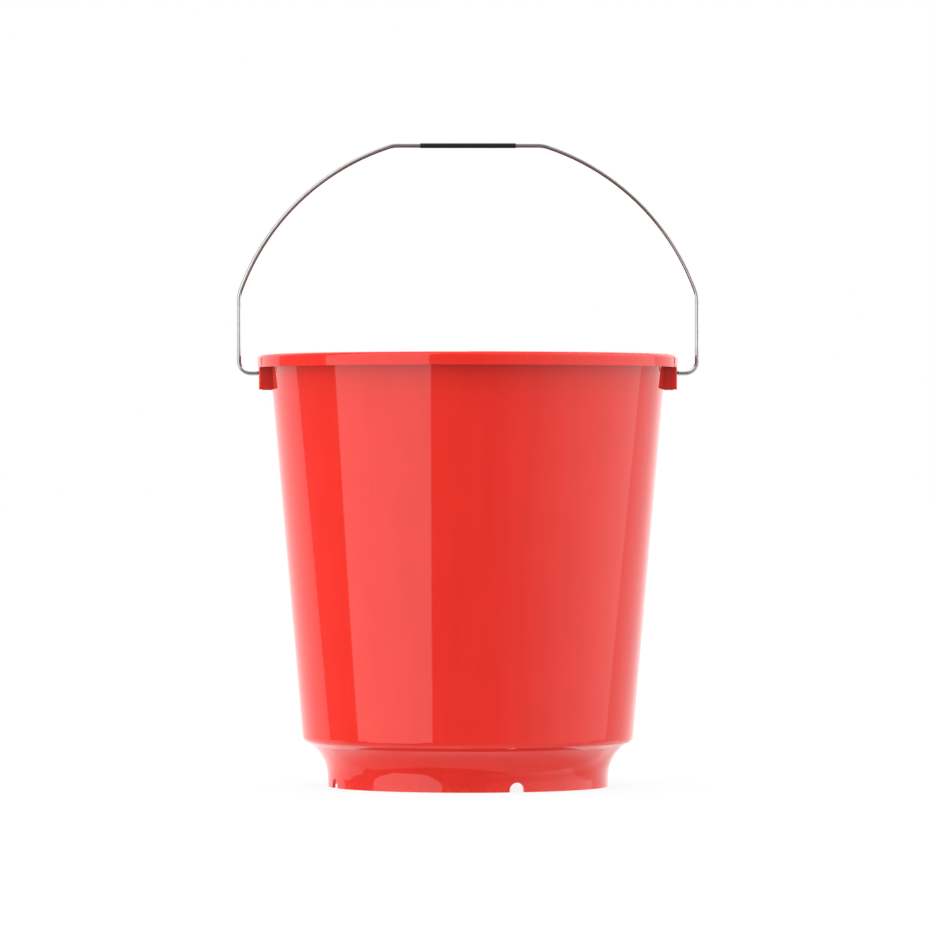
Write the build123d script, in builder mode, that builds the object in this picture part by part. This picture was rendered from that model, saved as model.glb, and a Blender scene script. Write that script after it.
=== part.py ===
from build123d import *
from math import asin, degrees
import os

# A wash bucket: one plastic moulding, a bent wire bail that swings in its two lugs, and a sleeve on
# the bail to hold it by. Millimetres, +Z up. The origin is on the bucket's axis, on the surface that
# it stands on. The lugs and the ends of the bail lie along X, and the front faces -Y.

# Bucket wall, floor and rim
height = 300.0  # top of the rim
rim_r = 147.0
rim_drop = 8.9  # from the top of the rim to the lower edge of its skirt
rim_reach = 8.2  # from the outside of the wall to the outside of the skirt
rim_round = 2.8
mouth_round = 1.4
base_r = 114.9  # outside of the wall, carried down to the foot ring's flare
wall = 2.2
floor_t = 2.5
floor_round = 5.0
web_round = 0.8  # where the wall and the skirt meet the rim's web

# Shoulder and foot ring under the wall
shoulder_z = 28.4  # crease where the flare ends and the sloping shoulder starts
shoulder_rise = 3.8
shoulder_round = 5.0
ledge = 6.0  # from the crease out to the wall
flare_out = 10.9  # how far the foot ring flares out up to the crease
foot_upright = 6.5  # plain upright band at the bottom of the foot ring
notch_w = 10.6
notch_h = 6.6
notch_count = 4
notch_turn = 20.0  # degrees from the front to the first notch

# Gate mark in the middle of the underside
gate_r = 7.0
gate_depth = 0.6
gate_stub_r = 1.6

# Lugs under the rim
lug_width = 29.0
lug_drop = 15.4  # below the rim's skirt
lug_inset = 1.8  # from the outside of the rim in to the lug's outer face
lug_wall = 2.1
lug_round = 1.2
pivot_drop = 3.9  # the bail's axis below the rim's skirt

# Bail
wire_d = 3.0
pivot_gap = 0.08  # all round the wire in its hole
hook_reach = 6.5  # from the bail's axis to the cut end of the wire
hook_bend = 2.3  # starts flush with the inside of the lug's outer wall
wire_chamfer = 0.3
leg_reach = 14.3  # from the lug's outer face to the leg's centre line
foot_bend = 8.4
leg_rise = 54.6  # from the bail's axis to the corner of leg and bow
bail_rise = 158.6  # from the bail's axis to the straight under the sleeve
straight_half = 52.4
bow_swell = 17.9  # how far the bow swells out from the chord between its corners
bow_bend = 20.0

# Sleeve
sleeve_len = 66.5
sleeve_wall = 0.17
sleeve_gap = 0.03  # all round the wire

# Sizes that follow
skirt_z = height - rim_drop
web_z = height - wall
mouth_r = rim_r - rim_reach
lean = (mouth_r - base_r) / (height - shoulder_z)
corner_z = shoulder_z + shoulder_rise
floor_z = shoulder_z + floor_t
foot_r = base_r - ledge - flare_out
flare_rise = shoulder_z - foot_upright
flare_r = (flare_out**2 + flare_rise**2) / (2 * flare_out)
lug_x = rim_r - lug_inset
lug_z = skirt_z - lug_drop
pivot_z = skirt_z - pivot_drop
straight_z = pivot_z + bail_rise
leg_x = lug_x + leg_reach
hook_x = lug_x - lug_wall - hook_bend


def outside_r(z):
    """Outer radius of the conical wall at height z."""
    return base_r + lean * (z - shoulder_z)


def inside_r(z):
    """Inner radius of the conical wall at height z."""
    return outside_r(z) - wall


# Bucket body: the section of one even wall, from the foot ring up to the rim and down to the floor
with BuildPart() as bucket_body:
    with BuildSketch(Plane.XZ):
        with BuildLine():
            flare_centre = (foot_r + flare_r, foot_upright)
            inner_flare_r = flare_r + wall
            outer_turn = degrees(asin(flare_rise / flare_r))
            inner_turn = degrees(asin(flare_rise / inner_flare_r))
            outer_flare = CenterArc(flare_centre, flare_r, 180, -outer_turn)
            inner_flare = CenterArc(flare_centre, inner_flare_r, 180, -inner_turn)
            Polyline(inner_flare @ 0, (foot_r - wall, 0), (foot_r, 0), outer_flare @ 0)
            shell = {
                (outside_r(corner_z), corner_z): shoulder_round,
                (outside_r(web_z), web_z): web_round,
                (rim_r - wall, web_z): web_round,
                (rim_r - wall, skirt_z): 0,
                (rim_r, skirt_z): 0,
                (rim_r, height): rim_round,
                (inside_r(height), height): mouth_round,
                (inside_r(floor_z), floor_z): floor_round,
                (0, floor_z): 0,
                (0, shoulder_z): 0,
            }
            FilletPolyline(outer_flare @ 1, *shell, inner_flare @ 1, radius=shell.values())
        make_face()
    revolve(axis=Axis.Z)

    # Lugs: boxes open below and towards the wall, trimmed flush with the inside of the bucket
    lug_depth = lug_x - inside_r(lug_z)
    with BuildSketch(Plane.XY.offset(lug_z)):
        for side in (1, -1):
            with Locations((side * (lug_x - lug_depth / 2), 0)):
                RectangleRounded(lug_depth, lug_width, lug_round)
            with Locations((side * (lug_x - lug_wall - lug_depth / 2), 0)):
                Rectangle(lug_depth, lug_width - 2 * lug_wall, mode=Mode.SUBTRACT)
    extrude(amount=web_z - lug_z)
    with BuildSketch(Plane.XZ):
        with BuildLine():
            Polyline((0, lug_z), (inside_r(lug_z), lug_z), (inside_r(web_z), web_z), (0, web_z), close=True)
        make_face()
    revolve(axis=Axis.Z, mode=Mode.SUBTRACT)

    # Holes for the bail through the outer walls of both lugs
    with BuildSketch(Plane.YZ.offset(lug_x - lug_wall)):
        with Locations((0, pivot_z)):
            Circle(wire_d / 2 + pivot_gap)
    extrude(amount=lug_wall, mode=Mode.SUBTRACT)
    with BuildSketch(Plane.YZ.offset(-lug_x)):
        with Locations((0, pivot_z)):
            Circle(wire_d / 2 + pivot_gap)
    extrude(amount=lug_wall, mode=Mode.SUBTRACT)

    # Drain notches with round tops in the foot ring
    for number in range(notch_count):
        turn = notch_turn + number * 360 / notch_count
        with BuildSketch(Plane.XZ.rotated((0, 0, turn))):
            with Locations((0, notch_h - notch_w / 2)):
                Circle(notch_w / 2)
            Rectangle(notch_w, notch_h - notch_w / 2, align=(Align.CENTER, Align.MIN))
        extrude(amount=foot_r + flare_out, mode=Mode.SUBTRACT)

    # Gate mark: a shallow round well with a low stub in it
    with BuildSketch(Plane.XY.offset(shoulder_z)):
        Circle(gate_r)
        Circle(gate_stub_r, mode=Mode.SUBTRACT)
    extrude(amount=gate_depth, mode=Mode.SUBTRACT)

# Bail: one wire bent flat in the XZ plane, with its cut ends turned down inside the lugs
with BuildPart() as bail_wire:
    with BuildLine(Plane.XZ) as bail_path:
        cut_end = (hook_x, pivot_z - hook_reach)
        hook_corner = (hook_x, pivot_z)
        foot_corner = (leg_x, pivot_z)
        bow_foot = (leg_x, pivot_z + leg_rise)
        bow_top = (straight_half, straight_z)
        Polyline(cut_end, hook_corner, foot_corner, bow_foot)
        SagittaArc(bow_foot, bow_top, -bow_swell)
        Line(bow_top, (0, straight_z))
        bends = {hook_corner: hook_bend, foot_corner: foot_bend, bow_foot: bow_bend, bow_top: bow_bend}
        for (x, z), bend in bends.items():
            corner = bail_path.vertices().sort_by_distance((x, 0, z))[0]
            fillet(corner, bend)
        mirror(about=Plane.YZ)
    bail_route = bail_path.wire()
    with BuildSketch(Plane(bail_route @ 0, z_dir=bail_route % 0)):
        Circle(wire_d / 2)
    sweep(path=bail_route)
    cut_faces = bail_wire.faces().filter_by(GeomType.PLANE)
    chamfer(cut_faces.edges(), wire_chamfer)

# Sleeve: a thin tube, free to turn on the straight top of the bail
with BuildPart() as grip_sleeve:
    with BuildSketch(Plane.YZ.offset(-sleeve_len / 2)):
        with Locations((0, straight_z)):
            Circle(wire_d / 2 + sleeve_gap + sleeve_wall)
            Circle(wire_d / 2 + sleeve_gap, mode=Mode.SUBTRACT)
    extrude(amount=sleeve_len)

os.makedirs("parts", exist_ok=True)
bucket_body.part.label = "bucket_body"
bail_wire.part.label = "bail_wire"
grip_sleeve.part.label = "grip_sleeve"
export_step(bucket_body.part, "parts/bucket_body.step")
export_step(bail_wire.part, "parts/bail_wire.step")
export_step(grip_sleeve.part, "parts/grip_sleeve.step")
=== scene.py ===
import math

import bpy
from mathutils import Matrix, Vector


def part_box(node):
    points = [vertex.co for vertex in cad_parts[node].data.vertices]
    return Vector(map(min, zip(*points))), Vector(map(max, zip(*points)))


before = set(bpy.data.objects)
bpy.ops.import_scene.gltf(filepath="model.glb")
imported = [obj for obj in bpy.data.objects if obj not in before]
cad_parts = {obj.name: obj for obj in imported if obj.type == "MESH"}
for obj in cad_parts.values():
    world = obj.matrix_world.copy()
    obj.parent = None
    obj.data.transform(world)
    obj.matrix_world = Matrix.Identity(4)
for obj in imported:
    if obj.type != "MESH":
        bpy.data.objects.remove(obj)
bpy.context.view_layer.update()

# Looks for the wash bucket. Everything is in metres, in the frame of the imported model, which gives
# every size and place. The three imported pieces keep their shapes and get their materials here.

# Camera: level, far away, square on to the front of the bucket
CAMERA_DISTANCE = 4.437
CAMERA_HEIGHT = 0.2213
CAMERA_LENS = 245.0
CAMERA_SENSOR = 36.0

# The studio, as gloss sees it. Directions are in degrees. A turn is 0 towards the camera, -180 or
# 180 behind the bucket and positive towards +X, and a climb is 0 at the horizon and positive
# upwards. FRONT and BACK give a brightness at each turn: the front is dark on the left and round
# the camera, with a bright wall on the right, and the back is bright all over.
FRONT = (
    (-130, 0.30), (2, 0.29), (12, 0.36), (21, 0.50), (39, 0.78), (48, 0.98), (68, 1.36), (91, 1.60),
    (105, 1.65), (130, 1.60),
)
BACK = (
    (-180, 1.45), (-170, 1.32), (-145, 1.08), (-120, 0.94), (115, 0.94), (124, 1.00), (140, 1.12),
    (157, 1.44), (180, 1.60),
)
BACK_LEFT = -125.0
BACK_RIGHT = 122.5
BACK_EDGE = 0.3  # softness of its two edges

# How far the back reaches forward: degrees for each degree of climb, degrees at the horizon, most
REACH_LEFT = (-1.8, -1.4, 27.0)
REACH_RIGHT = (-2.3, -7.4, 23.0)

OVERHEAD = 0.72
FLOOR_NEAR = 0.27  # the floor between the bucket and the camera
FLOOR_UNDER = 0.80
FLOOR_BEHIND = 1.20
FLOOR_GLARE = 0.7  # extra in the bright patch just behind the point straight below
FLOOR_SLANT = (-0.42, -1.0, 1.0)  # across the line between the near floor and the rest

# The softbox on the left, with its two lower corners cut off at 45 degrees
BOX_LEFT = -83.5
BOX_RIGHT = -21.0
BOX_MIDDLE = -52.5
BOX_CUT = 27.5  # degrees from the middle to where the cut corner meets the level below
BOX_CUT_LEVEL = -12.5
BOX_BOTTOM = -26.0
BOX_EDGE = 0.5  # softness of its edges
BOX_GLOW = 1.80

# The studio's diffuse light: first by height, then what that is multiplied by for its direction
SOFT_ABOVE = 2.6
SOFT_LEVEL = 1.06
SOFT_BELOW = 0.90
SOFT_MEAN = 0.96
SOFT_RIGHT = -0.25  # times X, so the left is brighter than the right
SOFT_SIDES = 0.54  # times X squared, so both sides are bright
SOFT_BACK = 0.08  # times Y
SOFT_ENDS = -0.18  # times Y without its sign, so the front and the back are less bright

# The red plastic shows less of its colour to other surfaces than it shows to the camera
BOUNCE = 0.25  # how much of it the outside passes on by diffuse light; the inside passes on all
MIRRORED = 0.35  # how much of it shows in the wire and in the plastic's own gloss
RIM_WIDTH = 0.0095  # from the outside of the rim in to the mouth
RED_DEEP = (0.815, 0.0225, 0.0130)
RED_LIGHT = (0.865, 0.0265, 0.0150)
RED_RUBBED = (0.86, 0.115, 0.085)
SCUFF_LOW = 0.0005  # scuffs are full up to here above the ground
SCUFF_HIGH = 0.006  # and gone from here up

STEEL_DARK = (0.50, 0.495, 0.485)
STEEL_BRIGHT = (0.66, 0.66, 0.655)
STEEL_DULL = (0.44, 0.435, 0.43)

BLACK_DEEP = (0.010, 0.009, 0.009)
BLACK_LIGHT = (0.020, 0.018, 0.018)
BLACK_RUBBED = (0.075, 0.070, 0.068)

FLOOR_SIZE = 60.0
FLOOR_DROP = 0.0002  # below the bucket's foot
FLOOR_PAINT = 0.08
FLOOR_GLOW = 0.90


class Nodes:
    """A short way to build a node tree."""

    def __init__(self, tree):
        self.tree = tree
        tree.nodes.clear()

    def add(self, kind, **settings):
        node = self.tree.nodes.new(kind)
        for name, value in settings.items():
            setattr(node, name, value)
        return node

    def link(self, out, into):
        self.tree.links.new(out, into)

    def feed(self, socket, value):
        if isinstance(value, bpy.types.NodeSocket):
            self.link(value, socket)
        else:
            socket.default_value = value

    def math(self, operation, *values, clamp=False):
        node = self.add("ShaderNodeMath", operation=operation, use_clamp=clamp)
        for socket, value in zip(node.inputs, values):
            self.feed(socket, value)
        return node.outputs[0]

    def step(self, value, low, high, bottom=0.0, top=1.0):
        """Goes smoothly from bottom to top while value goes from low to high."""
        node = self.add("ShaderNodeMapRange", interpolation_type="SMOOTHSTEP")
        limits = (("From Min", low), ("From Max", high), ("To Min", bottom), ("To Max", top))
        for name, number in limits:
            node.inputs[name].default_value = number
        self.feed(node.inputs["Value"], value)
        return node.outputs[0]

    def band(self, value, low, high, edge):
        """1 between low and high, and 0 outside, with soft edges."""
        rise = self.step(value, low - edge, low + edge)
        return self.math("MULTIPLY", rise, self.step(value, high - edge, high + edge, 1.0, 0.0))

    def blend(self, share, first, second):
        node = self.add("ShaderNodeMix", data_type="FLOAT")
        for socket, value in zip(node.inputs[:1] + node.inputs[2:4], (share, first, second)):
            self.feed(socket, value)
        return node.outputs[0]

    def tint(self, share, first, second):
        """A blend of two colours."""
        node = self.add("ShaderNodeMix", data_type="RGBA")
        self.feed(node.inputs["Factor"], share)
        for socket, value in zip(node.inputs[6:8], (first, second)):
            self.feed(socket, value if isinstance(value, bpy.types.NodeSocket) else (*value, 1))
        return node.outputs[2]

    def levels(self, turn, stops):
        """Brightness by turn, in straight lines between the stops."""
        node = self.add("ShaderNodeValToRGB")
        ramp = node.color_ramp.elements
        ramp.remove(ramp[-1])
        for number, (degrees, glow) in enumerate(stops):
            place = (degrees + 180) / 360
            stop = ramp[0] if number == 0 else ramp.new(place)
            stop.position = place
            stop.color = (glow / 2, glow / 2, glow / 2, 1)
        self.link(self.math("MULTIPLY_ADD", turn, 1 / 360, 0.5, clamp=True), node.inputs[0])
        return self.math("MULTIPLY", node.outputs[0], 2.0)

    def stretch(self, place, scale):
        node = self.add("ShaderNodeVectorMath", operation="MULTIPLY")
        self.link(place, node.inputs[0])
        self.feed(node.inputs[1], scale)
        return node.outputs[0]

    def dot(self, first, second):
        node = self.add("ShaderNodeVectorMath", operation="DOT_PRODUCT")
        self.feed(node.inputs[0], first)
        self.feed(node.inputs[1], second)
        return node.outputs["Value"]

    def noise(self, place, scale, detail):
        node = self.add("ShaderNodeTexNoise")
        self.link(place, node.inputs["Vector"])
        node.inputs["Scale"].default_value = scale
        node.inputs["Detail"].default_value = detail
        return node.outputs[0]

    def bump(self, height, depth, under=None):
        node = self.add("ShaderNodeBump")
        node.inputs["Distance"].default_value = depth
        self.link(height, node.inputs["Height"])
        if under:
            self.link(under, node.inputs["Normal"])
        return node.outputs[0]


def walls(n, turn, climb):
    """Brightness of the studio's front and back, before the softbox, the ceiling and the floor."""
    def reach(slope, level, most):
        free = n.math("MAXIMUM", n.math("MULTIPLY_ADD", climb, slope, level), 0.0)
        return n.math("MINIMUM", free, most)

    shift = n.math("MULTIPLY", reach(*REACH_LEFT), n.step(turn, -95, -90, -1.0, 0.0))
    shift = n.math("MULTIPLY_ADD", reach(*REACH_RIGHT), n.step(turn, 94, 99), shift)
    sight = n.math("ADD", turn, shift)
    ahead = n.band(sight, BACK_LEFT, BACK_RIGHT, BACK_EDGE)
    around = n.blend(ahead, n.levels(sight, BACK), n.levels(sight, FRONT))

    # The right half is brighter higher up, and again near the floor
    right = n.math("MULTIPLY", n.step(turn, 3, 20), n.step(turn, 178, 179.5, 1.0, 0.0))
    fade = n.math("ADD", n.step(climb, -30, 14, 0.50, 1.20), n.step(climb, -26, -14, 0.40, 0.0))
    return n.math("MULTIPLY", around, n.blend(right, 1.0, fade))


def softbox(n, turn, climb):
    """1 on the softbox and 0 elsewhere."""
    aside = n.math("ABSOLUTE", n.math("SUBTRACT", turn, BOX_MIDDLE))
    edge = n.math("ADD", aside, BOX_CUT_LEVEL - BOX_CUT)
    above = n.math("SUBTRACT", climb, n.math("MAXIMUM", edge, BOX_BOTTOM))
    across = n.band(turn, BOX_LEFT, BOX_RIGHT, BOX_EDGE)
    return n.math("MULTIPLY", across, n.step(above, -BOX_EDGE, BOX_EDGE))


def ground(n, way, y, climb):
    """Brightness of the floor: dark near the camera, bright behind and under the bucket."""
    patch = n.math("MULTIPLY", n.step(y, -0.1, 0.4, 0.0, FLOOR_GLARE), n.step(climb, -80, -62, 1.0, 0.0))
    below = n.math("ADD", patch, n.step(y, 0.2, 0.75, FLOOR_UNDER, FLOOR_BEHIND))
    return n.blend(n.step(n.dot(way, FLOOR_SLANT), -0.03, 0.03), below, FLOOR_NEAR)


def diffuse_light(n, x, y, climb):
    """Soft light, most from overhead and from the two sides, and least from the camera's side."""
    soft = n.step(climb, -25, -5, SOFT_BELOW, SOFT_LEVEL)
    soft = n.math("ADD", soft, n.step(climb, 38, 62, 0.0, SOFT_ABOVE - SOFT_LEVEL))
    side = n.math("MULTIPLY_ADD", x, SOFT_RIGHT, n.math("MULTIPLY_ADD", y, SOFT_BACK, SOFT_MEAN))
    side = n.math("MULTIPLY_ADD", n.math("ABSOLUTE", y), SOFT_ENDS, side)
    side = n.math("MULTIPLY_ADD", n.math("MULTIPLY", x, x), SOFT_SIDES, side)
    return n.math("MULTIPLY", soft, side)


def make_world():
    world = bpy.data.worlds.new("studio")
    bpy.context.scene.world = world
    world.use_nodes = True
    n = Nodes(world.node_tree)
    way = n.add("ShaderNodeTexCoord").outputs["Generated"]
    xyz = n.add("ShaderNodeSeparateXYZ")
    n.link(way, xyz.inputs[0])
    x, y, z = xyz.outputs
    to_degrees = 180 / math.pi
    compass = n.math("ARCTAN2", x, n.math("MULTIPLY", y, -1.0))
    turn = n.math("MULTIPLY", compass, to_degrees)
    climb = n.math("MULTIPLY", n.math("ARCSINE", z), to_degrees)

    around = n.blend(softbox(n, turn, climb), walls(n, turn, climb), BOX_GLOW)
    around = n.blend(n.step(climb, 50, 78), around, OVERHEAD)
    around = n.blend(n.step(climb, -30, -27), ground(n, way, y, climb), around)

    # Gloss sees all of that, diffuse surfaces see soft light, and the camera sees plain white
    path = n.add("ShaderNodeLightPath")
    glow = n.blend(path.outputs["Is Diffuse Ray"], around, diffuse_light(n, x, y, climb))
    glow = n.blend(path.outputs["Is Camera Ray"], glow, 1.0)
    light = n.add("ShaderNodeBackground")
    light.inputs["Color"].default_value = (1, 1, 1, 1)
    n.link(glow, light.inputs["Strength"])
    out = n.add("ShaderNodeOutputWorld")
    n.link(light.outputs[0], out.inputs[0])


def make_floor():
    """White paper under the bucket, seen by the camera only, and clear from below."""
    bpy.ops.mesh.primitive_plane_add(size=FLOOR_SIZE)
    floor = bpy.context.object
    floor.name = "floor"
    floor.location.z = -FLOOR_DROP
    floor.visible_glossy = False
    floor.visible_diffuse = False
    floor.visible_transmission = False
    material = bpy.data.materials.new("floor")
    material.use_nodes = True
    n = Nodes(material.node_tree)
    paper = n.add("ShaderNodeBsdfDiffuse")
    paper.inputs["Color"].default_value = (FLOOR_PAINT, FLOOR_PAINT, FLOOR_PAINT, 1)
    lit = n.add("ShaderNodeEmission")
    lit.inputs["Strength"].default_value = FLOOR_GLOW
    both = n.add("ShaderNodeAddShader")
    n.link(paper.outputs[0], both.inputs[0])
    n.link(lit.outputs[0], both.inputs[1])
    clear = n.add("ShaderNodeBsdfTransparent")
    under = n.add("ShaderNodeMixShader")
    n.link(n.add("ShaderNodeNewGeometry").outputs["Backfacing"], under.inputs[0])
    n.link(both.outputs[0], under.inputs[1])
    n.link(clear.outputs[0], under.inputs[2])
    out = n.add("ShaderNodeOutputMaterial")
    n.link(under.outputs[0], out.inputs[0])
    floor.data.materials.append(material)


def make_camera():
    camera = bpy.data.objects.new("camera", bpy.data.cameras.new("camera"))
    bpy.context.scene.collection.objects.link(camera)
    camera.location = (0, -CAMERA_DISTANCE, CAMERA_HEIGHT)
    camera.rotation_euler = (math.radians(90), 0, 0)
    camera.data.lens = CAMERA_LENS
    camera.data.sensor_width = CAMERA_SENSOR
    bpy.context.scene.camera = camera


def principled(name, **sockets):
    material = bpy.data.materials.new(name)
    material.use_nodes = True
    n = Nodes(material.node_tree)
    shader = n.add("ShaderNodeBsdfPrincipled")
    for socket, value in sockets.items():
        n.feed(shader.inputs[socket.replace("_", " ")], value)
    out = n.add("ShaderNodeOutputMaterial")
    n.link(shader.outputs[0], out.inputs[0])
    return material, n, shader


def dress(node, material):
    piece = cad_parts[node]
    piece.data.materials.clear()
    piece.data.materials.append(material)


def inside_mask(n, place):
    """1 on the inside of the bucket, up to its mouth, and 0 elsewhere."""
    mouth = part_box("bucket_body")[1][0] - RIM_WIDTH
    flat = n.stretch(place, (1, 1, 0))
    radius = n.add("ShaderNodeVectorMath", operation="LENGTH")
    n.link(flat, radius.inputs[0])
    outward = n.dot(flat, n.add("ShaderNodeNewGeometry").outputs["Normal"])
    within = n.step(radius.outputs["Value"], mouth - 0.001, mouth, 1.0, 0.0)
    return n.math("MULTIPLY", n.step(outward, 0.005, 0.03, 1.0, 0.0), within)


def edge_wear(n, reach, place):
    """0 on open surfaces, up to 1 in uneven patches along edges."""
    bevel = n.add("ShaderNodeBevel", samples=6)
    bevel.inputs["Radius"].default_value = reach
    flatness = n.dot(bevel.outputs[0], n.add("ShaderNodeNewGeometry").outputs["Normal"])
    edge = n.step(flatness, 0.80, 0.98, 1.0, 0.0)
    return n.math("MULTIPLY", edge, n.step(n.noise(place, 260, 4), 0.40, 0.66))


# In the materials, the scale of a noise is in cycles per metre, and the depth of a bump in metres


def body_plastic():
    material, n, shader = principled("body_plastic", IOR=1.5)
    place = n.add("ShaderNodeTexCoord").outputs["Object"]
    xyz = n.add("ShaderNodeSeparateXYZ")
    n.link(place, xyz.inputs[0])
    height = xyz.outputs["Z"]

    # Pigment: faint clouds, and flow streaks that run up the wall from the gate in the floor
    cloud = n.noise(place, 24, 3)
    flow = n.noise(n.stretch(place, (90, 90, 5)), 1.0, 3)
    pigment = n.math("MULTIPLY_ADD", flow, 0.5, n.math("MULTIPLY", cloud, 0.5))
    tint = n.tint(n.step(pigment, 0.3, 0.7), RED_DEEP, RED_LIGHT)

    # Wear: rubbed edges, a scuffed foot, and hairline scratches up the wall from stacking
    worn = edge_wear(n, 0.0009, place)
    low = n.step(height, SCUFF_LOW, SCUFF_HIGH, 1.0, 0.0)
    foot = n.math("MULTIPLY", low, n.step(n.noise(place, 420, 5), 0.46, 0.62))
    worn = n.math("MAXIMUM", worn, n.math("MULTIPLY", foot, 0.45))
    hair = n.noise(n.stretch(place, (2600, 2600, 26)), 1.0, 2)
    patch = n.step(n.noise(place, 15, 2), 0.52, 0.64)
    scratch = n.math("MULTIPLY", n.step(hair, 0.66, 0.72), patch)
    tint = n.tint(n.math("MULTIPLY", worn, 0.40), tint, RED_RUBBED)

    path = n.add("ShaderNodeLightPath")
    shown = n.blend(path.outputs["Is Glossy Ray"], 1.0, MIRRORED)
    passed = n.blend(inside_mask(n, place), BOUNCE, 1.0)
    tint = n.stretch(tint, n.blend(path.outputs["Is Diffuse Ray"], shown, passed))
    n.link(tint, shader.inputs["Base Color"])

    rough = n.step(n.noise(place, 60, 4), 0.3, 0.7, 0.024, 0.050)
    rough = n.math("MULTIPLY_ADD", scratch, 0.10, rough)
    rough = n.blend(worn, rough, 0.34)
    n.link(rough, shader.inputs["Roughness"])

    # Relief: the slow waviness of a large moulding, its fine skin, and the scratches
    relief = n.bump(n.noise(place, 26, 2), 0.000018)
    relief = n.bump(n.noise(place, 520, 3), 0.0000014, relief)
    relief = n.bump(n.noise(n.stretch(place, (3100, 3100, 3100)), 1.0, 2), 0.0000004, relief)
    relief = n.bump(n.math("ADD", scratch, worn), -0.000004, relief)
    n.link(relief, shader.inputs["Normal"])
    return material


def wire_steel():
    material, n, shader = principled("wire_steel", Metallic=1.0)
    place = n.add("ShaderNodeTexCoord").outputs["Object"]

    # The wire lies in the XZ plane, so the marks of its drawing keep a constant Y all along it
    drawn = n.noise(n.stretch(place, (30, 9000, 30)), 1.0, 3)
    zinc = n.noise(place, 700, 4)
    dull = n.step(n.noise(place, 55, 3), 0.42, 0.66)
    tone = n.math("MULTIPLY_ADD", zinc, 0.5, n.math("MULTIPLY", drawn, 0.5))
    tint = n.tint(n.step(tone, 0.35, 0.65), STEEL_DARK, STEEL_BRIGHT)
    tint = n.tint(n.math("MULTIPLY", dull, 0.35), tint, STEEL_DULL)
    n.link(tint, shader.inputs["Base Color"])

    rough = n.step(zinc, 0.3, 0.7, 0.05, 0.11)
    rough = n.math("MULTIPLY_ADD", dull, 0.08, rough)
    n.link(rough, shader.inputs["Roughness"])

    relief = n.bump(drawn, 0.0000003)
    relief = n.bump(zinc, 0.0000010, relief)
    n.link(relief, shader.inputs["Normal"])
    return material


def sleeve_plastic():
    material, n, shader = principled("sleeve_plastic", IOR=1.48, Specular_IOR_Level=0.22)
    place = n.add("ShaderNodeTexCoord").outputs["Object"]

    # Extruded along X, so its die lines run along X
    lines = n.noise(n.stretch(place, (12, 5200, 5200)), 1.0, 3)
    handled = n.step(n.noise(place, 120, 4), 0.45, 0.68)
    worn = edge_wear(n, 0.00035, place)
    tint = n.tint(lines, BLACK_DEEP, BLACK_LIGHT)
    tint = n.tint(n.math("MULTIPLY", worn, 0.6), tint, BLACK_RUBBED)
    n.link(tint, shader.inputs["Base Color"])

    rough = n.step(lines, 0.3, 0.7, 0.46, 0.60)
    rough = n.math("MULTIPLY_ADD", handled, -0.10, rough)
    n.link(rough, shader.inputs["Roughness"])

    relief = n.bump(lines, 0.000006)
    relief = n.bump(n.noise(place, 2400, 3), 0.000002, relief)
    n.link(relief, shader.inputs["Normal"])
    return material


make_world()
make_floor()
make_camera()
dress("bucket_body", body_plastic())
dress("bail_wire", wire_steel())
dress("grip_sleeve", sleeve_plastic())
bpy.context.scene.view_settings.view_transform = "Standard"
